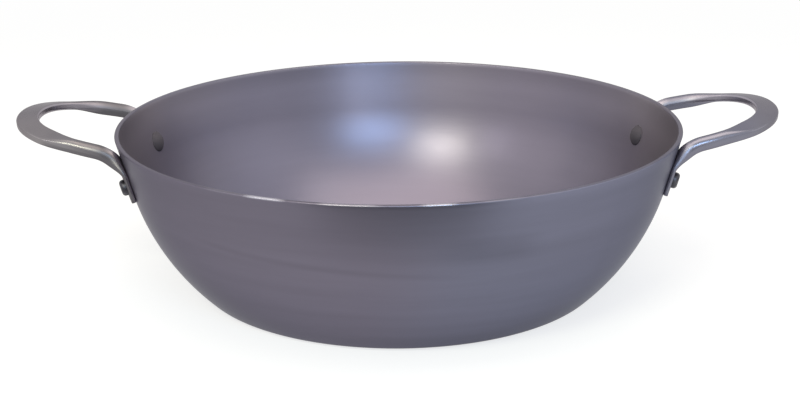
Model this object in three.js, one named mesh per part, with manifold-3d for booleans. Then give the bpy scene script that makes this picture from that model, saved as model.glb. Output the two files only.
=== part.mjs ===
// Two-handled frying pan: a deep pan pressed from one steel sheet, with two riveted loop handles.
// Millimetres, +Z up. The origin is the centre of the base's underside and the handles lie along X.
import * as THREE from 'three';
import { mergeVertices } from 'three/addons/utils/BufferGeometryUtils.js';
import Module from 'manifold-3d';

const wasm = await Module();
wasm.setup();

const { degToRad } = THREE.MathUtils;

// Pan body: the rim's outer diameter, and a wall of two tangent arcs below a straight flared flank
const rimDiameter = 320;
const bodyHeight = 93;
const wallThickness = 2.5;
const rimEdgeRadius = 0.7;
const flareAngle = degToRad(14.75);
const bellyRadius = 130;
const cornerRadius = 10;
const cornerSweep = degToRad(44);

// Rivets: one in each foot, square to the wall, with a low dome inside and a flat button outside
const rivetDepth = 23.3;
const rivetSpacing = 89.8;
const shankDiameter = 6;
const innerHeadDiameter = 12.4;
const innerHeadHeight = 2.3;
const innerHeadEdge = 0.7;
const outerHeadDiameter = 9;
const outerHeadHeight = 3;
const outerHeadRounding = 1;

// Handles: the foot's line up the wall, the neck bent out of it, and how far the grip reaches past the rim
const footOverhang = 9.8;
const neckMargin = 1.5;
const neckBendRadius = 19.2;
const gripReach = 55.4;
const gripSlope = degToRad(11.9);
const gripBank = degToRad(14.7);
const gripSpread = 31.6;
const legPull = 24;
const legSplay = degToRad(6.3);

// Handles: a round rod, pressed flat along the grip and again at both feet
const rodDiameter = 8.1;
const gripWidth = 12.4;
const gripThickness = 4.4;
const gripEdgeRadius = 1.3;
const gripFlatLength = 80;
const flatRunout = 21;
const footWidth = 17.2;
const footThickness = 2.4;
const footEdgeRadius = 0.9;

// Fit: the gap left wherever two pieces seat, and round each shank
const seatGap = 0.3;
const shankClearance = 0.3;
const leastFlat = 0.2;

// Fineness of the facets
const turnSegments = 72;
const rivetSegments = 20;
const cornerSteps = 4;
const bellySteps = 7;
const edgeSteps = 3;
const gripSteps = 15;
const bendSteps = 8;
const footSteps = 2;
const footEndSteps = 4;

const up = new THREE.Vector3(0, 0, 1);
const sideways = new THREE.Vector3(0, 1, 0);
const turningAxis = new THREE.Vector3(0, 1, 0);

const bodySteel = new THREE.MeshStandardMaterial({ color: 0x6d6972, roughness: 0.5, metalness: 0.9 });
const handleSteel = new THREE.MeshStandardMaterial({ color: 0x8b878d, roughness: 0.38, metalness: 1 });
const rivetSteel = new THREE.MeshStandardMaterial({ color: 0x4b484f, roughness: 0.42, metalness: 0.95 });

// Points along a circular arc in the profile plane, where x is the radius and y the height
function arcPoints(centre, radius, from, to, steps) {
  const points = [];
  for (let i = 0; i <= steps; i++) {
    const angle = THREE.MathUtils.lerp(from, to, i / steps);
    points.push(new THREE.Vector2(centre.x + radius * Math.cos(angle), centre.y + radius * Math.sin(angle)));
  }
  return points;
}

// A closed three.js geometry as a solid that can be cut
function toSolid(geometry) {
  const bare = geometry.clone();
  bare.deleteAttribute('normal');
  bare.deleteAttribute('uv');
  const merged = mergeVertices(bare);
  const corners = merged.index.array;
  const triangles = [];
  for (let i = 0; i < corners.length; i += 3) {
    const [a, b, c] = corners.slice(i, i + 3);
    if (a !== b && b !== c && c !== a) triangles.push(a, b, c);
  }
  const mesh = new wasm.Mesh({
    numProp: 3,
    vertProperties: new Float32Array(merged.attributes.position.array),
    triVerts: new Uint32Array(triangles),
  });
  return new wasm.Manifold(mesh);
}

// A cut solid as a three.js geometry again
function toGeometry(solid) {
  const mesh = solid.getMesh();
  const geometry = new THREE.BufferGeometry();
  geometry.setAttribute('position', new THREE.BufferAttribute(mesh.vertProperties, 3));
  geometry.setIndex(new THREE.BufferAttribute(mesh.triVerts, 1));
  geometry.computeVertexNormals();
  return geometry;
}

// A profile of radius and height turned about Z
function turned(profile, segments) {
  return new THREE.LatheGeometry(profile, segments).rotateX(Math.PI / 2);
}

// Body profile: the outer wall is worked out from the rim downwards, so the base closes what is left
const wallSlope = Math.PI / 2 - flareAngle;
const rimEdge = Math.min(rimEdgeRadius, wallThickness / 2);
const flankNormal = new THREE.Vector2(Math.sin(wallSlope), -Math.cos(wallSlope));
const outerRimCentre = new THREE.Vector2(rimDiameter / 2 - rimEdge, bodyHeight - rimEdge);
const innerRimInset = (wallThickness - 2 * rimEdge) / Math.sin(wallSlope);
const innerRimCentre = new THREE.Vector2(outerRimCentre.x - innerRimInset, outerRimCentre.y);
const flankTop = outerRimCentre.clone().addScaledVector(flankNormal, rimEdge);
const bellyTopHeight = cornerRadius * (1 - Math.cos(cornerSweep))
  + bellyRadius * (Math.cos(cornerSweep) - Math.cos(wallSlope));
const bellyTopRadius = flankTop.x - (flankTop.y - bellyTopHeight) / Math.tan(wallSlope);
const bellyTop = new THREE.Vector2(bellyTopRadius, bellyTopHeight);
const bellyCentre = bellyTop.clone().addScaledVector(flankNormal, -bellyRadius);
const cornerCentre = new THREE.Vector2(
  bellyCentre.x + (bellyRadius - cornerRadius) * Math.sin(cornerSweep),
  cornerRadius,
);

// One skin of the wall, from the flat base up to the flank, set in by a given depth
function wallSkin(inset) {
  const down = -Math.PI / 2;
  const joint = down + cornerSweep;
  const corner = arcPoints(cornerCentre, cornerRadius - inset, down, joint, cornerSteps);
  const belly = arcPoints(bellyCentre, bellyRadius - inset, joint, down + wallSlope, bellySteps);
  return [...corner, ...belly.slice(1)];
}

function bodyProfile() {
  const quarter = Math.PI / 2;
  const lean = wallSlope - quarter;
  const outerRim = arcPoints(outerRimCentre, rimEdge, lean, quarter, edgeSteps);
  const innerRim = arcPoints(innerRimCentre, rimEdge, quarter, lean + Math.PI, edgeSteps);
  return [
    new THREE.Vector2(0, 0),
    ...wallSkin(0),
    ...outerRim,
    ...innerRim,
    ...wallSkin(wallThickness).reverse(),
    new THREE.Vector2(0, wallThickness),
  ];
}

// The wall's outer radius and slope at a depth below the rim, on the flank or down on the belly
function wallAt(depth) {
  const height = bodyHeight - depth;
  if (height >= bellyTopHeight) {
    const radius = flankTop.x - (flankTop.y - height) / Math.tan(wallSlope);
    return { height, radius, slope: wallSlope };
  }
  const slope = Math.acos((bellyCentre.y - height) / bellyRadius);
  return { height, radius: bellyCentre.x + bellyRadius * Math.sin(slope), slope };
}

// The seat of one rivet on the outer wall: its point, the wall's normal, and the ways up and across the wall
function rivetSeat(side) {
  const wall = wallAt(rivetDepth);
  const azimuth = Math.asin((side * rivetSpacing) / 2 / wall.radius);
  const outward = new THREE.Vector3(Math.cos(azimuth), Math.sin(azimuth), 0);
  const across = new THREE.Vector3().crossVectors(up, outward);
  const normal = outward.clone().applyAxisAngle(across, Math.PI / 2 - wall.slope);
  const upwards = up.clone().applyAxisAngle(across, Math.PI / 2 - wall.slope);
  const point = outward.clone().multiplyScalar(wall.radius).addScaledVector(up, wall.height);
  return { point, normal, upwards, across, radius: wall.radius };
}

// A drill as wide as the shank with its clearance, long enough for the wall and the foot
function rivetDrill(seat) {
  const length = 4 * (wallThickness + footThickness + seatGap);
  const drill = new THREE.CylinderGeometry(
    shankDiameter / 2 + shankClearance,
    shankDiameter / 2 + shankClearance,
    length,
    rivetSegments,
  );
  drill.applyQuaternion(new THREE.Quaternion().setFromUnitVectors(turningAxis, seat.normal));
  drill.translate(seat.point.x, seat.point.y, seat.point.z);
  return toSolid(drill);
}

function panBody() {
  let solid = toSolid(turned(bodyProfile(), turnSegments));
  for (const side of [-1, 1]) {
    const drill = rivetDrill(rivetSeat(side));
    solid = solid.subtract(drill).subtract(drill.rotate([0, 0, 180]));
  }
  return toGeometry(solid);
}

// The bar's section as a rectangle with rounded edges, given as offsets across and through the bar.
// A round rod is the same section with edges that all but meet.
function barSection({ width, thickness, edgeRadius }) {
  const radius = Math.min(edgeRadius, (width - leastFlat) / 2, (thickness - leastFlat) / 2);
  const points = [];
  for (let corner = 0; corner < 4; corner++) {
    const right = corner === 0 || corner === 3 ? 1 : -1;
    const top = corner < 2 ? 1 : -1;
    const centre = new THREE.Vector2(right * (width / 2 - radius), top * (thickness / 2 - radius));
    const from = (corner * Math.PI) / 2;
    points.push(...arcPoints(centre, radius, from, from + Math.PI / 2, edgeSteps));
  }
  return points;
}

// Half of a handle's centreline, from the middle of the grip to the end of one foot.
// Each station holds a point, the way onwards, and the direction across the bar.
function handleStations() {
  const seat = rivetSeat(1);
  const outwards = new THREE.Vector3(Math.cos(gripSlope), 0, Math.sin(gripSlope));
  const gripNormal = new THREE.Vector3(-Math.sin(gripSlope), 0, Math.cos(gripSlope));
  const inwards = outwards.clone().multiplyScalar(-Math.cos(legSplay));
  inwards.addScaledVector(sideways, Math.sin(legSplay));
  const downwards = seat.upwards.clone().negate();

  // The foot lies along the wall, and the neck bends out of its line just clear of the rivet's button
  const footCentre = seat.point.clone().addScaledVector(seat.normal, seatGap + footThickness / 2);
  const bendEnd = footCentre.clone().addScaledVector(seat.upwards, outerHeadDiameter / 2 + neckMargin);
  const bendAngle = inwards.angleTo(downwards);
  const bendTangent = neckBendRadius * Math.tan(bendAngle / 2);
  const neckCorner = bendEnd.clone().addScaledVector(seat.upwards, bendTangent);
  const bendStart = neckCorner.clone().addScaledVector(inwards, -bendTangent);

  // The grip lies in the sloping plane through the neck, and its outer edge is at the reach
  const tipX = rimDiameter / 2 + gripReach - (gripWidth / 2) * Math.cos(gripSlope - gripBank);
  const tip = new THREE.Vector3(tipX, 0, neckCorner.z + (tipX - neckCorner.x) * Math.tan(gripSlope));

  const stations = [];
  const grip = new THREE.CubicBezierCurve3(
    tip,
    tip.clone().addScaledVector(sideways, gripSpread),
    bendStart.clone().addScaledVector(inwards, -legPull),
    bendStart,
  );
  for (let i = 0; i <= gripSteps; i++) {
    const along = grip.getTangent(i / gripSteps);
    const edge = new THREE.Vector3().crossVectors(along, gripNormal);
    const across = edge.multiplyScalar(Math.cos(gripBank)).addScaledVector(gripNormal, -Math.sin(gripBank));
    stations.push({ point: grip.getPoint(i / gripSteps), along, across, endTrim: 1 });
  }

  // The neck bends the leg down on to the wall, and turns the bar's width to lie along the wall
  const neckAcross = stations[gripSteps].across;
  const bendAxis = new THREE.Vector3().crossVectors(inwards, downwards).normalize();
  const bendArm = new THREE.Vector3().crossVectors(inwards, bendAxis).multiplyScalar(neckBendRadius);
  const bendCentre = bendStart.clone().sub(bendArm);
  for (let i = 1; i <= bendSteps; i++) {
    const turn = (bendAngle * i) / bendSteps;
    const point = bendArm.clone().applyAxisAngle(bendAxis, turn).add(bendCentre);
    const along = inwards.clone().applyAxisAngle(bendAxis, turn);
    const across = neckAcross.clone().lerp(seat.across, THREE.MathUtils.smoothstep(i / bendSteps, 0, 1));
    across.addScaledVector(along, -across.dot(along)).normalize();
    stations.push({ point, along, across, endTrim: 1 });
  }

  // The foot runs straight past its rivet to a round end
  const footEnd = footCentre.clone().addScaledVector(downwards, footOverhang);
  const roundStart = footEnd.clone().addScaledVector(downwards, -footWidth / 2);
  for (let i = 1; i <= footSteps; i++) {
    const point = bendEnd.clone().lerp(roundStart, i / footSteps);
    stations.push({ point, along: downwards, across: seat.across, endTrim: 1 });
  }
  for (let i = 1; i <= footEndSteps; i++) {
    const sweep = (Math.PI / 2) * (i / (footEndSteps + 0.5));
    const point = roundStart.clone().addScaledVector(downwards, (footWidth / 2) * Math.sin(sweep));
    stations.push({ point, along: downwards, across: seat.across, endTrim: Math.cos(sweep) });
  }
  return stations;
}

// The bar's section after a run along its centreline: flat at the grip, round on the leg, flat at the foot
function barSizes(run, neckRun, footRun) {
  const { lerp, smoothstep } = THREE.MathUtils;
  const roundRun = gripFlatLength / 2 + flatRunout;
  const rounded = smoothstep(run, gripFlatLength / 2, roundRun);
  const flattened = smoothstep(run, Math.max(neckRun, roundRun), footRun);
  const blend = (grip, rod, foot) => lerp(lerp(grip, rod, rounded), foot, flattened);
  return {
    width: blend(gripWidth, rodDiameter, footWidth),
    thickness: blend(gripThickness, rodDiameter, footThickness),
    edgeRadius: blend(gripEdgeRadius, rodDiameter / 2, footEdgeRadius),
  };
}

// The handle's skin as rings of points, from the middle of the grip to the end of one foot
function handleRings() {
  const stations = handleStations();
  const runs = [0];
  for (let i = 1; i < stations.length; i++) {
    runs.push(runs[i - 1] + stations[i].point.distanceTo(stations[i - 1].point));
  }
  return stations.map(({ point, along, across, endTrim }, i) => {
    const sizes = barSizes(runs[i], runs[gripSteps], runs[gripSteps + bendSteps]);
    sizes.width *= endTrim;
    const through = new THREE.Vector3().crossVectors(across, along);
    return barSection(sizes).map((offset) => point.clone()
      .addScaledVector(across, offset.x)
      .addScaledVector(through, offset.y));
  });
}

// Rings of equal length joined into one closed skin, with a fan over each end
function loft(rings) {
  const size = rings[0].length;
  const points = rings.flat();
  const triangles = [];
  for (let ring = 0; ring + 1 < rings.length; ring++) {
    for (let i = 0; i < size; i++) {
      const a = ring * size + i;
      const b = ring * size + ((i + 1) % size);
      triangles.push(a, a + size, b, b, a + size, b + size);
    }
  }
  const lastRing = (rings.length - 1) * size;
  for (let i = 1; i + 1 < size; i++) {
    triangles.push(0, i, i + 1);
    triangles.push(lastRing, lastRing + i + 1, lastRing + i);
  }
  const geometry = new THREE.BufferGeometry().setFromPoints(points);
  geometry.setIndex(triangles);
  return geometry;
}

function handle() {
  const half = handleRings();
  const mirrored = half.slice(1).reverse().map((ring) => ring.map((p) => new THREE.Vector3(p.x, -p.y, p.z)));
  let solid = toSolid(loft([...mirrored, ...half]));
  for (const side of [-1, 1]) solid = solid.subtract(rivetDrill(rivetSeat(side)));
  return toGeometry(solid);
}

// A rivet turned about Y, whose zero height is the wall's outer face
function rivet() {
  const seat = rivetSeat(1);
  const shank = shankDiameter / 2;
  const innerRadius = innerHeadDiameter / 2;
  const outerRadius = outerHeadDiameter / 2;

  // The inner head's flat underside stands clear of the wall's hollow curve
  const hollow = innerRadius ** 2 / 2 / (seat.radius - wallThickness);
  const innerSeat = -wallThickness - hollow - seatGap;
  const outerSeat = seatGap + footThickness + seatGap;

  // The dome is the arc through its edge and its top
  const crown = innerHeadHeight - innerHeadEdge;
  const domeRadius = (innerRadius ** 2 + crown ** 2) / 2 / crown;
  const domeCentre = new THREE.Vector2(0, innerSeat - innerHeadHeight + domeRadius);
  const domeSweep = Math.asin(innerRadius / domeRadius);
  const down = -Math.PI / 2;
  const dome = arcPoints(domeCentre, domeRadius, down, down + domeSweep, edgeSteps);

  const rounding = Math.min(outerHeadRounding, outerHeadHeight, outerRadius);
  const buttonCentre = new THREE.Vector2(outerRadius - rounding, outerSeat + outerHeadHeight - rounding);
  const button = arcPoints(buttonCentre, rounding, 0, Math.PI / 2, edgeSteps);

  return new THREE.LatheGeometry([
    ...dome,
    new THREE.Vector2(innerRadius, innerSeat),
    new THREE.Vector2(shank, innerSeat),
    new THREE.Vector2(shank, outerSeat),
    new THREE.Vector2(outerRadius, outerSeat),
    ...button,
    new THREE.Vector2(0, outerSeat + outerHeadHeight),
  ], rivetSegments);
}

function namedMesh(name, geometry, material) {
  const mesh = new THREE.Mesh(geometry, material);
  mesh.name = name;
  return mesh;
}

const pan = new THREE.Group();
pan.add(namedMesh('pan_body', panBody(), bodySteel));

// Both handles are alike, so the left one is the right one turned half a turn with its rivets
const handleGeometry = handle();
const rivetGeometry = toGeometry(toSolid(rivet()));
const mountings = [
  { name: 'right', turn: 0, rivets: { front: -1, rear: 1 } },
  { name: 'left', turn: Math.PI, rivets: { front: 1, rear: -1 } },
];
for (const { name, turn, rivets } of mountings) {
  const mounting = new THREE.Group();
  mounting.rotation.z = turn;
  mounting.add(namedMesh(`handle_${name}`, handleGeometry, handleSteel));
  for (const [place, side] of Object.entries(rivets)) {
    const seat = rivetSeat(side);
    const mesh = namedMesh(`rivet_${name}_${place}`, rivetGeometry, rivetSteel);
    mesh.position.copy(seat.point);
    mesh.quaternion.setFromUnitVectors(turningAxis, seat.normal);
    mounting.add(mesh);
  }
  pan.add(mounting);
}

export default pan;
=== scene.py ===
# A two-handled frying pan of satin carbon steel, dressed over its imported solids. Everything is in metres.
import math

import bmesh
import bpy
from mathutils import Matrix, Vector


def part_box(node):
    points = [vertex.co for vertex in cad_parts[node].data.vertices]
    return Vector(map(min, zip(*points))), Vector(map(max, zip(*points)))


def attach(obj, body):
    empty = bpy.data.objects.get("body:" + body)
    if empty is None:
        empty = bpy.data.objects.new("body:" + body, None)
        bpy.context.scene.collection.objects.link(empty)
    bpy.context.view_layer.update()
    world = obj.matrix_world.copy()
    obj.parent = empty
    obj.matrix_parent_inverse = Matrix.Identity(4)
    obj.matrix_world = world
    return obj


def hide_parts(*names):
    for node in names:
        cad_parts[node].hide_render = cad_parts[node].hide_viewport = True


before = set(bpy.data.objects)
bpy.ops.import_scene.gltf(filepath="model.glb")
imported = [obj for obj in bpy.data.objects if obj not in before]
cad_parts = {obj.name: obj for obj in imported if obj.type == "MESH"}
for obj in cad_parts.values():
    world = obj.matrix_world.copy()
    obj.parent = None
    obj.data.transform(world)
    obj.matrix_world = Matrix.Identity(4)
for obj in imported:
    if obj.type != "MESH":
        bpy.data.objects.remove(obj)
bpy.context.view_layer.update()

# The pan body
# One disc of carbon steel sheet, pressed into a deep bowl: a flat base, a tight corner, a round belly and
# a straight flared flank. The rim is cut level and its edges are eased, and four holes take the rivets.
rim_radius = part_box("pan_body")[1][0]
rim_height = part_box("pan_body")[1][2]
sheet = 0.0025
rim_edge = 0.0007
flare = math.radians(14.75)
belly_radius = 0.130
corner_radius = 0.010
corner_sweep = math.radians(44)
belly_sweep = math.pi / 2 - flare - corner_sweep
base_steps = 12
corner_steps = 10
belly_steps = 32
flank_steps = 14
lip_steps = 6
bowl_turn_steps = 320

flank_normal = Vector((math.cos(flare), 0, -math.sin(flare)))
flank_rise = Vector((math.sin(flare), 0, math.cos(flare)))
outer_lip = Vector((rim_radius - rim_edge, 0, rim_height - rim_edge))
inner_lip = outer_lip - Vector(((sheet - 2 * rim_edge) / math.cos(flare), 0, 0))
flank_top = outer_lip + flank_normal * rim_edge
inner_flank_top = inner_lip - flank_normal * rim_edge
belly_top_height = corner_radius * (1 - math.cos(corner_sweep))
belly_top_height += belly_radius * (math.cos(corner_sweep) - math.sin(flare))
belly_top = flank_top - flank_rise * (flank_top.z - belly_top_height) / math.cos(flare)
belly_centre = belly_top - flank_normal * belly_radius
corner_centre = belly_centre.copy()
corner_centre.x += (belly_radius - corner_radius) * math.sin(corner_sweep)
corner_centre.z = corner_radius


def start_drawing(name, point):
    """Starts a new mesh as one vertex, from which a profile is drawn in the XZ plane."""
    bpy.ops.object.select_all(action="DESELECT")
    bpy.ops.mesh.primitive_plane_add(size=0.01)
    piece = bpy.context.object
    piece.name = name
    piece.data.name = name
    bpy.ops.object.mode_set(mode="EDIT")
    bpy.ops.mesh.merge(type="CENTER")
    bpy.ops.transform.translate(value=point)
    return piece


def draw_line(shift, steps=1):
    """Carries the profile's last vertex on along a straight line."""
    for _ in range(steps):
        bpy.ops.mesh.extrude_vertices_move(TRANSFORM_OT_translate={"value": Vector(shift) / steps})


def draw_arc(centre, angle, steps):
    """Carries the profile's last vertex on along an arc, leftwards where the angle is positive."""
    bpy.ops.mesh.spin(steps=steps, angle=angle, center=centre, axis=(0, 1, 0))


def turn_drawing(steps, weld=5e-6):
    """Turns the drawn profile once round the Z axis into a closed skin, and welds its seam and poles."""
    bpy.ops.mesh.select_all(action="SELECT")
    bpy.ops.mesh.spin(steps=steps, angle=2 * math.pi, center=(0, 0, 0), axis=(0, 0, 1))
    bpy.ops.mesh.select_all(action="SELECT")
    bpy.ops.mesh.remove_doubles(threshold=weld)
    bpy.ops.mesh.normals_make_consistent(inside=False)
    bpy.ops.object.mode_set(mode="OBJECT")


bowl = start_drawing("bowl", (0, 0, 0))
draw_line((corner_centre.x, 0, 0), base_steps)
draw_arc(corner_centre, corner_sweep, corner_steps)
draw_arc(belly_centre, belly_sweep, belly_steps)
draw_line(flank_top - belly_top, flank_steps)
draw_arc(outer_lip, math.pi / 2 + flare, lip_steps)
draw_line(inner_lip - outer_lip)
draw_arc(inner_lip, math.pi / 2 - flare, lip_steps)
draw_line(belly_top - flank_normal * sheet - inner_flank_top, flank_steps)
draw_arc(belly_centre, -belly_sweep, belly_steps)
draw_arc(corner_centre, -corner_sweep, corner_steps)
draw_line((-corner_centre.x, 0, 0), base_steps)
turn_drawing(bowl_turn_steps)

# The rivets' seats on the outer wall: X runs across the wall, Y up it and Z straight out of it
rivet_spacing = 0.0898
rivet_depth = 0.0233
rivet_hole = 0.0066
bit_length = 0.03
bit_sides = 32
rivet_height = rim_height - rivet_depth
seat_radius = flank_top.x - (flank_top.z - rivet_height) * math.tan(flare)
seat_azimuth = math.asin(rivet_spacing / 2 / seat_radius)
wall_turn = Matrix((Vector((0, 1, 0)), flank_rise, flank_normal)).transposed().to_4x4()


def seat_at(azimuth):
    """The seat of one rivet, at an angle round the pan from the +X side."""
    out = Matrix.Translation((seat_radius, 0, rivet_height))
    return Matrix.Rotation(azimuth, 4, "Z") @ out @ wall_turn


seats = {
    "right_front": seat_at(-seat_azimuth),
    "right_rear": seat_at(seat_azimuth),
    "left_front": seat_at(math.pi + seat_azimuth),
    "left_rear": seat_at(math.pi - seat_azimuth),
}


def drill(piece, holes):
    """Cuts a round hole through a piece at each of the given seats."""
    for seat in holes:
        bpy.ops.object.select_all(action="DESELECT")
        bpy.ops.mesh.primitive_cylinder_add(vertices=bit_sides, radius=rivet_hole / 2, depth=bit_length)
        bit = bpy.context.object
        bit.matrix_world = seat
        bpy.context.view_layer.objects.active = piece
        bpy.ops.object.modifier_add(type="BOOLEAN")
        cut = piece.modifiers[-1]
        cut.operation = "DIFFERENCE"
        cut.solver = "EXACT"
        cut.object = bit
        bpy.ops.object.modifier_apply(modifier=cut.name)
        bpy.data.objects.remove(bit)


def smooth(piece, degrees):
    """Shades a piece smooth, apart from edges that turn by more than this."""
    bpy.ops.object.select_all(action="DESELECT")
    piece.select_set(True)
    bpy.context.view_layer.objects.active = piece
    bpy.ops.object.shade_smooth_by_angle(angle=math.radians(degrees))


drill(bowl, seats.values())
smooth(bowl, degrees=35)


class Shade:
    """One output of a material's nodes. Sums on it add Math nodes, and node() adds any other node."""

    def __init__(self, socket):
        self.socket = socket

    def node(self, kind, settings, sockets, output=0):
        """A new node of a kind, with its settings and its sockets' values or links."""
        tree = self.socket.id_data
        made = tree.nodes.new("ShaderNode" + kind)
        for name, value in settings.items():
            setattr(made, name, value)
        for name, value in sockets.items():
            if isinstance(value, Shade):
                tree.links.new(value.socket, made.inputs[name])
            else:
                made.inputs[name].default_value = value
        return Shade(made.outputs[output])

    def math(self, operation, first, second=0.0):
        """A sum on one value or two."""
        return self.node("Math", {"operation": operation}, {0: first, 1: second})

    def __add__(self, other):
        return self.math("ADD", self, other)

    def __sub__(self, other):
        return self.math("SUBTRACT", self, other)

    def __rsub__(self, other):
        return self.math("SUBTRACT", other, self)

    def __mul__(self, other):
        return self.math("MULTIPLY", self, other)

    def __truediv__(self, other):
        return self.math("DIVIDE", self, other)

    def __rtruediv__(self, other):
        return self.math("DIVIDE", other, self)

    def __pow__(self, other):
        return self.math("POWER", self, other)

    def __rpow__(self, other):
        return self.math("POWER", other, self)

    __radd__ = __add__
    __rmul__ = __mul__

    def apart(self, other):
        """How far this value is from another."""
        return self.math("ABSOLUTE", self - other)

    def fade(self, start, end):
        """A mask that rises smoothly from 0 at one value to 1 at another."""
        limits = {"Value": self, "From Min": start, "From Max": end}
        return self.node("MapRange", {"interpolation_type": "SMOOTHSTEP"}, limits)

    def between(self, low, high):
        """A colour between two others, mixed by this value."""
        return self.node("Mix", {"data_type": "RGBA"}, {0: self, 6: low, 7: high}, 2)

    def noise(self, scale, detail=2.0, roughness=0.5):
        """Cloudy noise at these coordinates."""
        sockets = {"Vector": self, "Scale": scale, "Detail": detail, "Roughness": roughness}
        return self.node("TexNoise", {}, sockets)

    def bump(self, strength, distance):
        """A relief with this value as its height."""
        return self.node("Bump", {}, {"Strength": strength, "Distance": distance, "Height": self})

    def into(self, shader, name):
        """Feeds one of the shader's own sockets."""
        self.socket.id_data.links.new(self.socket, shader.inputs[name])


def new_finish(name, metallic=1.0):
    """A new material, its shader, and the place on the piece in Object coordinates."""
    finish = bpy.data.materials.new(name)
    finish.use_nodes = True
    shader = finish.node_tree.nodes["Principled BSDF"]
    shader.inputs["Metallic"].default_value = metallic
    place = finish.node_tree.nodes.new("ShaderNodeTexCoord").outputs["Object"]
    return finish, shader, Shade(place)


def round_axis(place):
    """The X, Y and Z of a place, and its distance from the pan's axis, which is never quite 0."""
    x, y, z = [place.node("SeparateXYZ", {}, {"Vector": place}, axis) for axis in range(3)]
    least = 1e-8
    return x, y, z, (x * x + y * y + least) ** 0.5


def dress(piece, finish):
    """Gives a piece its one material."""
    piece.data.materials.clear()
    piece.data.materials.append(finish)


# Satin carbon steel: spun grain runs round the pan in soft bands
violet_grey = (0.153, 0.138, 0.181, 1)
blue_grey = (0.151, 0.153, 0.210, 1)
lilac_grey = (0.172, 0.156, 0.196, 1)
# A painted light for the two ends of the inside
side_light_grey = (0.290, 0.257, 0.284, 1)
# The colour of the lip's painted highlights
glint_edge = (0.50, 0.485, 0.55, 1)
band_pitch = 70
grain_pitch = 2600
grain_turns = 14
satin_body, shader, place = new_finish("satin_body", metallic=0.72)
shader.inputs["Specular Tint"].default_value = (0.40, 0.40, 0.43, 1)
x, y, z, radius = round_axis(place)
round_x = x / radius
round_y = y / radius
profile = radius + z
band_sockets = {"X": round_x, "Y": round_y, "Z": profile * band_pitch}
bands = place.node("CombineXYZ", {}, band_sockets).noise(scale=1.3, detail=3.0, roughness=0.6)
grain_sockets = {"X": round_x * grain_turns, "Y": round_y * grain_turns, "Z": profile * grain_pitch}
grain = place.node("CombineXYZ", {}, grain_sockets).noise(scale=1.0, roughness=0.6)
clouds = place.noise(scale=9)

# The mask for the inside
normal = place.node("NewGeometry", {}, {}, "Normal")
to_axis = place.node("CombineXYZ", {}, {"X": round_x * -1, "Y": round_y * -1, "Z": 1.0})
facing = normal.node("VectorMath", {"operation": "DOT_PRODUCT"}, {0: normal, 1: to_axis}, "Value")
inner_face = facing.fade(-0.2, 0.2)

# Rolling left the sheet bluer on two quarters and lilac on a third, and a painted light pales both ends
# inside
rolling = x * y / (-rim_radius**2)
blue_tint_and_light = (rolling + (clouds - 0.5) * 0.8).fade(-0.30, 0.45) * (1 - inner_face * 0.5)
tint = blue_tint_and_light.between(violet_grey, blue_grey)
warmed = (clouds - rolling).fade(0.55, 1.1) * y.fade(-0.02, 0.10)
tint = warmed.between(tint, lilac_grey)
lip = z.fade(rim_height - 0.0011, rim_height - 0.0002)
aside = x.apart(0)
# Painted light: the inside is painted paler at both ends
side_light = x.fade(0.11, 0.15) * 0.45 + x.fade(-0.09, -0.15) * 0.40 + aside.fade(0.138, 0.156) * 0.5
side_light = side_light * inner_face * (1 - lip * 0.7)
tint = side_light.between(tint, side_light_grey)

# Marks outside: a lighter band under the rim, a lighter patch, a darker patch, a faint darker line and a
# darker tone by the base
azimuth = x.math("ARCTAN2", x, y * -1)
lighter_band = z.fade(rim_height - 0.007, rim_height - 0.001) * x.fade(0.03, 0.077)
lighter_patch = z.fade(0.060, 0.074) * azimuth.fade(0.15, 0.45) * azimuth.fade(1.1, 0.8)
darker_patch = z.apart(0.066).fade(0.010, 0.003) * azimuth.fade(0.05, 0.25) * azimuth.fade(0.5, 0.35)
darker_line = (z + azimuth * 0.01).apart(0.0535).fade(0.0028, 0)
darker_line = darker_line * azimuth.fade(-0.9, -0.6) * azimuth.fade(0.3, 0)
darker_low = z.fade(0.022, 0.006) * x.fade(-0.05, 0.03)

# The tone of each side, streaked by the spun bands
# A painted shade darkens the inside in a band near the top
inside_tone = 1.12 - z.fade(0.078, 0.093) * 0.24
# A painted light makes the outside lighter towards the base
outside_tone = 0.96 + z.fade(0.085, 0.03) * 0.14 + lighter_band * 0.12 + lighter_patch * 0.11
outside_tone = outside_tone - darker_low * 0.16 - darker_patch * 0.12 - darker_line * 0.09
streaks = (bands - 0.5) * (0.22 - inner_face * 0.11) + 1
streaks = streaks * (outside_tone + (inside_tone - outside_tone) * inner_face)
shading = {"data_type": "RGBA", "blend_type": "MULTIPLY"}
tint = streaks.node("Mix", shading, {0: 1.0, 6: tint, 7: streaks}, 2)

# Painted highlights on the lip: the middle and half width in degrees round the front, and the strength
glint_places = [
    (-32, 5, 0.1), (-24.8, 3.2, 1.0), (-9.5, 4.7, 0.35),
    (5.8, 2.5, 0.8), (17, 3.5, 0.12), (38, 16, 0.05),
]
glint_blur = 1.4
# The far lip is painted lighter too, a painted highlight
far_edge = z.fade(rim_height - 0.0024, rim_height - 0.0004) * y.fade(0.02, 0.08)
lip_glints = far_edge * aside.fade(0.02, 0.07) * 0.14
for middle, reach, glint in glint_places:
    away = azimuth.apart(math.radians(middle))
    near = away.fade(math.radians(reach + glint_blur), math.radians(reach - glint_blur))
    lip_glints = lip_glints + lip * near * glint
lip_glints.between(tint, glint_edge).into(shader, "Base Color")
roughness = 0.25 + bands * (0.06 - inner_face * 0.02) + grain * 0.08 + inner_face * 0.01
# The lip is smoother where its highlights are painted
(roughness - lip * 0.02 - lip_glints * 0.08).into(shader, "Roughness")
grain.bump(strength=0.12, distance=0.0002).into(shader, "Normal")
dress(bowl, satin_body)
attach(bowl, "root")
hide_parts("pan_body")

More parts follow.
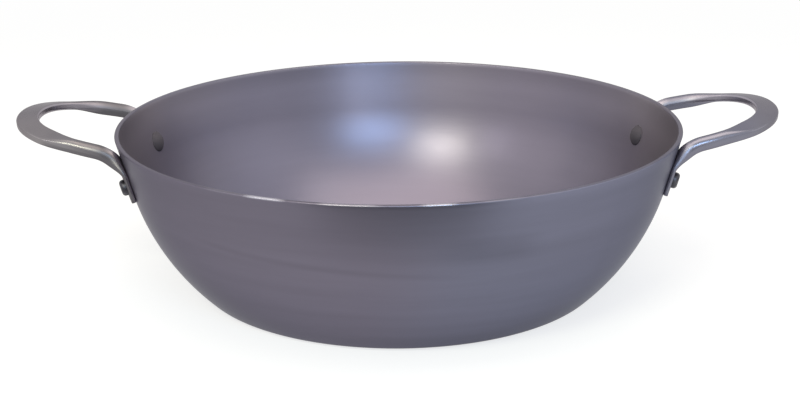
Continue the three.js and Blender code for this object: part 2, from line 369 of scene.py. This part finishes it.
# The loop handles
# Two alike loops of steel rod. The rod is pressed flat along the grip and again at both feet, bent down at
# the necks, and each foot lies on the wall under one rivet. The left loop is the right one turned round.
rod = 0.0081
grip_width = 0.0124
grip_thickness = 0.0044
grip_edge = 0.0013
grip_flat = 0.040
flat_runout = 0.021
foot_width = 0.0172
foot_thickness = 0.0024
foot_edge = 0.00115
foot_overhang = 0.0098
foot_end_sweep = math.pi / 2 / 1.05
seat_gap = 0.0003
pressed_home = 0.00028
button_radius = 0.0045
neck_margin = 0.0015
neck_radius = 0.0192
neck_round_share = 0.35
true_rim_radius = 0.160
grip_reach = 0.0554
grip_slope = math.radians(11.9)
grip_bank = math.radians(14.7)
grip_spread = 0.0316
leg_pull = 0.024
leg_splay = math.radians(6.3)
curve_steps = 60
bend_steps = 24
foot_steps = 4
foot_end_steps = 12
edge_steps = 7

foot_seat = seats["right_rear"]
wall_across = foot_seat.col[0].to_3d()
wall_up = foot_seat.col[1].to_3d()
wall_out = foot_seat.col[2].to_3d()
outwards = Vector((math.cos(grip_slope), 0, math.sin(grip_slope)))
grip_normal = Vector((-math.sin(grip_slope), 0, math.cos(grip_slope)))
sideways = Vector((0, 1, 0))
inwards = sideways * math.sin(leg_splay) - outwards * math.cos(leg_splay)
foot_centre = foot_seat.translation + wall_out * (seat_gap + foot_thickness / 2)
bend_end = foot_centre + wall_up * (button_radius + neck_margin)
bend_angle = inwards.angle(-wall_up)
bend_tangent = neck_radius * math.tan(bend_angle / 2)
neck_corner = bend_end + wall_up * bend_tangent
bend_start = neck_corner - inwards * bend_tangent
bend_axis = inwards.cross(-wall_up).normalized()
bend_arm = inwards.cross(bend_axis) * neck_radius
tip_x = true_rim_radius + grip_reach - grip_width / 2 * math.cos(grip_slope - grip_bank)
tip = Vector((tip_x, 0, neck_corner.z + (tip_x - neck_corner.x) * math.tan(grip_slope)))
spread_point = tip + sideways * grip_spread
pull_point = bend_start - inwards * leg_pull
round_start = foot_centre - wall_up * (foot_overhang - foot_width / 2)


def eased(value, start, end):
    """Rises smoothly from 0 to 1 between two values."""
    share = min(max((value - start) / (end - start), 0), 1)
    return share * share * (3 - 2 * share)


def blended(low, high, share):
    """A value part of the way from one to another."""
    return low + (high - low) * share


def loop_path():
    """Stations from mid grip to the end of one foot: point, way onwards, way across and end trim."""
    path = []
    for step in range(curve_steps + 1):
        t = step / curve_steps
        s = 1 - t
        point = s**3 * tip + 3 * s * s * t * spread_point + 3 * s * t * t * pull_point + t**3 * bend_start
        along = s * s * (spread_point - tip) + 2 * s * t * (pull_point - spread_point)
        along = (along + t * t * (bend_start - pull_point)).normalized()
        across = along.cross(grip_normal) * math.cos(grip_bank) - grip_normal * math.sin(grip_bank)
        path.append((point, along, across, 1))
    leg_across = path[-1][2]
    for step in range(1, bend_steps + 1):
        share = step / bend_steps
        turn = Matrix.Rotation(bend_angle * share, 3, bend_axis)
        along = turn @ inwards
        across = leg_across.lerp(wall_across, eased(share, 0, 1))
        across = (across - along * across.dot(along)).normalized()
        home = wall_out * pressed_home * eased(share, 0, 1)
        path.append((bend_start - bend_arm + turn @ bend_arm - home, along, across, 1))
    for step in range(1, foot_steps + 1):
        path.append((bend_end.lerp(round_start, step / foot_steps) - home, -wall_up, wall_across, 1))
    for step in range(1, foot_end_steps + 1):
        sweep = foot_end_sweep * step / foot_end_steps
        point = round_start - home - wall_up * foot_width / 2 * math.sin(sweep)
        path.append((point, -wall_up, wall_across, math.cos(sweep)))
    return path


def bar_section(run, neck_run, foot_run):
    """The bar's width, thickness and edge radius after a run along its centreline."""
    round_run = grip_flat + flat_runout
    rounded = eased(run, grip_flat, round_run)
    pressed = eased(run, blended(max(neck_run, round_run), foot_run, neck_round_share), foot_run)
    width = blended(blended(grip_width, rod, rounded), foot_width, pressed)
    thickness = blended(blended(grip_thickness, rod, rounded), foot_thickness, pressed)
    edge = blended(blended(grip_edge, rod / 2, rounded), foot_edge, pressed)
    return width, thickness, edge


def add_section(station, width, thickness, edge, least_flat=0.00005):
    """Adds one rounded rectangle across the bar, with a little flat left between its edges."""
    point, along, across, trim = station
    lie = Matrix((across, across.cross(along), -along)).transposed()
    width = width * trim
    edge = min(edge, width / 2 - least_flat, thickness / 2 - least_flat)
    bpy.ops.mesh.primitive_plane_add(size=1, location=point, rotation=lie.to_euler())
    bpy.ops.transform.resize(
        value=(width, thickness, 1),
        orient_matrix=lie,
        orient_matrix_type="GLOBAL",
        center_override=point,
    )
    bpy.ops.mesh.bevel(offset_type="OFFSET", offset=edge, segments=edge_steps, affect="VERTICES")
    bpy.ops.mesh.delete(type="ONLY_FACE")


def select_sections(piece, stations, widest=0.012, flatness=1e-6):
    """Selects the points that lie on the sections at some stations, and nothing else."""
    bpy.ops.mesh.select_all(action="DESELECT")
    mesh = bmesh.from_edit_mesh(piece.data)
    for point, along, *_ in stations:
        for vertex in mesh.verts:
            reach = vertex.co - point
            if reach.length < widest and abs(reach.dot(along)) < flatness:
                vertex.select = True
    mesh.select_flush(True)
    bmesh.update_edit_mesh(piece.data)


path = loop_path()
runs = [0]
for before, after in zip(path, path[1:]):
    runs.append(runs[-1] + (after[0] - before[0]).length)
neck_run = runs[curve_steps]
foot_run = runs[curve_steps + bend_steps]
bpy.ops.object.select_all(action="DESELECT")
bpy.ops.mesh.primitive_plane_add(size=0.01)
loop_right = bpy.context.object
loop_right.name = "loop_right"
bpy.ops.object.mode_set(mode="EDIT")
bpy.ops.mesh.delete(type="VERT")
add_section(path[0], *bar_section(0, neck_run, foot_run))
for number in range(1, len(path)):
    add_section(path[number], *bar_section(runs[number], neck_run, foot_run))
    select_sections(loop_right, path[number - 1:number + 1])
    bpy.ops.mesh.bridge_edge_loops()
select_sections(loop_right, path[-1:])
bpy.ops.mesh.edge_face_add()
bpy.ops.object.mode_set(mode="OBJECT")

bpy.ops.object.modifier_add(type="MIRROR")
mirror = loop_right.modifiers[-1]
mirror.use_axis = (False, True, False)
mirror.merge_threshold = 0.00001
bpy.ops.object.modifier_apply(modifier=mirror.name)
bpy.ops.object.mode_set(mode="EDIT")
bpy.ops.mesh.select_all(action="SELECT")
bpy.ops.mesh.normals_make_consistent(inside=False)
bpy.ops.object.mode_set(mode="OBJECT")
drill(loop_right, [seats["right_front"], seats["right_rear"]])
smooth(loop_right, degrees=40)
bpy.ops.object.modifier_add(type="WEIGHTED_NORMAL")
weighting = loop_right.modifiers[-1]
weighting.keep_sharp = True
bpy.ops.object.modifier_apply(modifier=weighting.name)

# Satin steel, brighter than the pan's, with the press's mottling and soft waves
clean_steel = (0.232, 0.221, 0.236, 1)
dull_steel = (0.195, 0.184, 0.197, 1)
# Darker steel for worn places and for painted shade
worn_and_shaded_steel = (0.118, 0.112, 0.123, 1)
# A painted blue light for the right loop
blue_lit_steel = (0.18, 0.19, 0.27, 1)
pale_grip_grey = (0.275, 0.255, 0.262, 1)
# A painted light for the side towards the wall
wall_side_light = (0.52, 0.48, 0.53, 1)
satin_loop, shader, place = new_finish("satin_loop")
shader.inputs["Specular Tint"].default_value = (0.6, 0.58, 0.6, 1)
mottle = place.noise(scale=45)
waves = place.noise(scale=60, detail=1.0)
tint = mottle.fade(0.35, 0.68).between(dull_steel, clean_steel)

# Masks for the two loops, their near and rear legs, the part that was bent hot, and the necks below the rim
x, y, z, radius = round_axis(place)
leftwards = x.fade(0.1, -0.1)
rightwards = x.fade(0, 0.1)
near_leg = y.fade(0.02, -0.02)
rear_leg = radius.fade(0.205, 0.190) * y.fade(0.015, 0.03)
bent_hot = radius.fade(0.186, 0.170)
neck = radius.fade(0.174, 0.164) * z.fade(rim_height + 0.005, rim_height - 0.001)

# Painted shade, with some wear, darkens the bends and rear legs, and the right loop has a painted blue light
outer_wear_and_shade = leftwards * 0.45 + 0.55
rear_wear_and_shade = rear_leg * (outer_wear_and_shade + (0.8 - outer_wear_and_shade) * bent_hot)
bend_shade = radius.fade(0.171, 0.1635) * z.fade(0.084, 0.089) * (leftwards * 0.6 + 0.15)
front_wear_and_shade = (bent_hot * (leftwards * 0.4 + 0.15) + bend_shade + neck * leftwards * 0.4) * near_leg
tint = (rear_wear_and_shade + front_wear_and_shade).between(tint, worn_and_shaded_steel)
blue_tint_and_light = rightwards * (radius.fade(0.208, 0.19) * 0.25 + 0.25)
tint = blue_tint_and_light.between(tint, blue_lit_steel)
# The near side of the left grip is paler
paler_near_grip = leftwards * y.fade(0, -0.025) * radius.fade(0.187, 0.198)
tint = (paler_near_grip * 0.6).between(tint, pale_grip_grey)

# A painted shade darkens the left near leg's underside, and a painted light pales the side towards the wall
normal = place.node("NewGeometry", {}, {}, "Normal")
upwards = normal.node("SeparateXYZ", {}, {"Vector": normal}, "Z")
underside_shade = upwards.fade(0.1, -0.35) * leftwards * near_leg * radius.fade(0.201, 0.196)
tint = (underside_shade * 0.75).between(tint, worn_and_shaded_steel)
to_axis = place.node("CombineXYZ", {}, {"X": x / radius * -1})
facing = normal.node("VectorMath", {"operation": "DOT_PRODUCT"}, {0: normal, 1: to_axis}, "Value")
lit_wall_side = (facing - near_leg * (0.25 - leftwards * 0.1)).fade(0.1, 0.6) * (0.45 + neck * 0.55)
lit_wall_side.between(tint, wall_side_light).into(shader, "Base Color")

# The bends are rougher, apart from the right near leg, which is polished
polished = rightwards * near_leg * radius.fade(0.161, 0.167)
scaled = bent_hot * (1 - polished) * 0.15
dulled = rear_leg * (leftwards * 0.7 + 0.3)
roughness = 0.25 + mottle.fade(0.38, 0.62) * 0.05 + scaled + dulled * 0.24 - polished * 0.03
roughness.into(shader, "Roughness")
waves.bump(strength=0.25, distance=0.0004).into(shader, "Normal")
dress(loop_right, satin_loop)

bpy.ops.object.duplicate()
loop_left = bpy.context.object
loop_left.name = "loop_left"
loop_left.data.name = "loop_left"
bpy.ops.transform.rotate(value=math.pi, orient_axis="Z", center_override=(0, 0, 0))
bpy.ops.object.transform_apply(rotation=True)
for loop, node in [(loop_right, "handle_right"), (loop_left, "handle_left")]:
    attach(loop, "root")
    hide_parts(node)

# The rivets
# Four steel rivets, one through each foot and the wall. Each has a low dome inside the pan, a plain shank
# and, outside, a flat button with a rounded edge that holds the foot down.
shank_radius = 0.003
dome_radius = 0.0062
dome_height = 0.0031
dome_edge = 0.0007
button_height = 0.003
button_rounding = 0.0019
dome_steps = 10
rounding_steps = 6
shoulder_steps = 2
side_steps = 3
button_top_steps = 4
rivet_turn_steps = 48
dome_seat = -sheet - dome_radius**2 / 4 / (seat_radius - sheet)
button_seat = seat_gap - pressed_home + foot_thickness
button_flat = button_radius - button_rounding
button_side = button_height - button_rounding
dome_flat = dome_radius - dome_edge
dome_curve = (dome_flat**2 + dome_height**2 - dome_edge**2) / 2 / (dome_height - dome_edge)
dome_sweep = math.asin(dome_flat / (dome_curve - dome_edge))
rivet = start_drawing("rivet", (0, 0, dome_seat - dome_height))
draw_arc((0, 0, dome_seat - dome_height + dome_curve), dome_sweep, dome_steps)
draw_arc((dome_flat, 0, dome_seat), math.pi / 2 - dome_sweep, rounding_steps)
draw_line((shank_radius - dome_radius, 0, 0), shoulder_steps)
draw_line((0, 0, button_seat - dome_seat), side_steps)
draw_line((button_radius - shank_radius, 0, 0), shoulder_steps)
draw_line((0, 0, button_side), side_steps)
draw_arc((button_flat, 0, button_seat + button_side), math.pi / 2, rounding_steps)
draw_line((-button_flat, 0, 0), button_top_steps)
turn_drawing(rivet_turn_steps)
smooth(rivet, degrees=35)

# Dark scale is left on the buttons outside, and the domes inside are nearer to the pan's own grey
dark_scale = (0.050, 0.049, 0.057, 1)
rubbed_scale = (0.115, 0.111, 0.126, 1)
inner_dome_grey = (0.120, 0.110, 0.126, 1)
dome_shadow_grey = (0.072, 0.068, 0.078, 1)
wall_line = seat_radius - rivet_height * math.tan(flare)
dark_rivet, shader, place = new_finish("dark_rivet")
spots = place.noise(scale=400, detail=3.0, roughness=0.6)
x, _, z, radius = round_axis(place)
inside = (radius - z * math.tan(flare)).fade(wall_line, wall_line - sheet)
scale_tint = (spots.fade(0.4, 0.75) + x.fade(0, 0.1) * 0.3).between(dark_scale, rubbed_scale)
# A painted shadow darkens each dome's lower part
dome_shadow_mask = z.fade(rivet_height - 0.003, rivet_height - 0.0058)
dome_tint = dome_shadow_mask.between(inner_dome_grey, dome_shadow_grey)
inside.between(scale_tint, dome_tint).into(shader, "Base Color")
(0.34 + spots * 0.16 + inside * 0.40).into(shader, "Roughness")
spots.bump(strength=0.15, distance=0.0002).into(shader, "Normal")
dress(rivet, dark_rivet)
for where, seat in seats.items():
    bpy.ops.object.select_all(action="DESELECT")
    rivet.select_set(True)
    bpy.context.view_layer.objects.active = rivet
    bpy.ops.object.duplicate()
    set_rivet = bpy.context.object
    set_rivet.name = "set_rivet_" + where
    set_rivet.data.name = "set_rivet_" + where
    set_rivet.matrix_world = seat
    bpy.ops.object.transform_apply()
    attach(set_rivet, "root")
    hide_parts("rivet_" + where)
bpy.data.objects.remove(rivet)

# The floor
# A wide white table top under the pan, lit softly so that it keeps the pan's shadow and runs out into
# white. In the steel's mirror it darkens towards the viewer, where the table ends and the dim room begins.
table_grey = (0.42, 0.42, 0.42, 1)
room_grey = (0.1, 0.1, 0.1, 1)
white = (1, 1, 1, 1)
table_glow = 0.70
room_share = 0.97


def light_paths(nodes):
    """Masks for what the camera sees, for what a mirror shows, and for either or a view through glass."""
    seen = Shade(nodes.new("ShaderNodeLightPath").outputs["Is Camera Ray"])
    mirrored = Shade(seen.socket.node.outputs["Is Glossy Ray"])
    passed = Shade(seen.socket.node.outputs["Is Transmission Ray"])
    in_view = seen.math("MAXIMUM", seen, seen.math("MAXIMUM", mirrored, passed))
    return seen, mirrored, in_view


bpy.ops.object.select_all(action="DESELECT")
bpy.ops.mesh.primitive_plane_add(size=8)
floor = bpy.context.object
floor.name = "floor"
white_table = bpy.data.materials.new("white_table")
white_table.use_nodes = True
nodes = white_table.node_tree.nodes
nodes.remove(nodes["Principled BSDF"])
seen, mirrored, in_view = light_paths(nodes)
spot = Shade(nodes.new("ShaderNodeTexCoord").outputs["Object"])
across, ahead, _, reach = round_axis(spot)
front = ahead.fade(-0.20, -0.27) * (across / ahead).apart(0).fade(0.65, 0.3)
lit = seen.node("BsdfDiffuse", {}, {"Color": table_grey})
glow = seen.node("Emission", {}, {"Color": white, "Strength": in_view * table_glow})
table = seen.node("AddShader", {}, {0: lit, 1: glow})
dim = seen.node("BsdfDiffuse", {}, {"Color": room_grey})
table = seen.node("MixShader", {}, {0: mirrored * front * room_share, 1: table, 2: dim})
haze = seen.node("Emission", {}, {"Color": white, "Strength": 1.0})
table = seen.node("MixShader", {}, {0: seen * reach.fade(0.45, 1.3), 1: table, 2: haze})
table.into(nodes["Material Output"], "Surface")
dress(floor, white_table)

# Light and camera
# A white studio: a wide soft box overhead, a lamp and a window's blue daylight before the pan, a weak fill on
# either side, and two small lamps that draw the highlights along the loops' near legs.
studio_level = 0.5
pan_middle = (0, 0, 0.05)
left_leg = (-0.185, -0.05, 0.09)
right_leg = (0.165, -0.05, 0.09)
scene = bpy.context.scene
scene.view_settings.view_transform = "Standard"
scene.world = bpy.data.worlds.new("studio")
scene.world.use_nodes = True
nodes = scene.world.node_tree.nodes
in_view = light_paths(nodes)[-1]
(in_view * (1 - studio_level) + studio_level).into(nodes["Background"], "Strength")
nodes["Background"].inputs["Color"].default_value = white


def soft_box(name, place, aim, size, watts, colour):
    """Hangs a rectangular soft light at a place, turned to shine on a point."""
    lamp = bpy.data.lights.new(name, "AREA")
    lamp.shape = "RECTANGLE"
    lamp.size = size[0]
    lamp.size_y = size[1]
    lamp.energy = watts
    lamp.color = colour
    box = bpy.data.objects.new(name, lamp)
    scene.collection.objects.link(box)
    box.location = place
    box.rotation_euler = (Vector(aim) - Vector(place)).to_track_quat("-Z", "Y").to_euler()


soft_box("ceiling", (0.035, -0.07, 0.62), (0.0, 0.09, 0.03), (0.68, 0.44), 1.98, (1, 0.86, 0.70))
soft_box("lamp", (-0.56, -1.18, 1.11), (0.03, 0.14, 0.04), (0.56, 0.30), 8.1, (0.98, 1, 0.76))
soft_box("window", (0.32, -1.52, 0.98), (-0.02, 0.14, 0.06), (0.78, 0.32), 7.4, (0.44, 0.70, 0.98))
soft_box("right_fill", (1.45, -0.35, 0.85), pan_middle, (1.0, 0.8), 1.1, (1, 0.95, 0.92))
soft_box("left_fill", (-1.45, -0.30, 0.80), pan_middle, (1.0, 0.7), 1.0, (1, 0.92, 0.88))
soft_box("side_lamp", (-1.255, -0.895, 0.943), left_leg, (0.24, 0.24), 0.9, (1, 0.98, 1))
soft_box("low_lamp", (0.52, -1.48, 0.66), right_leg, (0.24, 0.24), 0.7, (1, 0.98, 0.92))

camera_data = bpy.data.cameras.new("camera")
camera_data.sensor_width = 36
camera_data.lens = 65.25
camera_data.clip_start = 0.05
camera = bpy.data.objects.new("camera", camera_data)
scene.collection.objects.link(camera)
stand = Matrix.Translation((-0.0125, -0.80407, 0.30027))
heading = Matrix.Rotation(math.radians(-0.921), 4, "Z")
stoop = Matrix.Rotation(math.radians(72.338), 4, "X")
roll = Matrix.Rotation(math.radians(-0.499), 4, "Z")
camera.matrix_world = stand @ heading @ stoop @ roll
scene.camera = camera
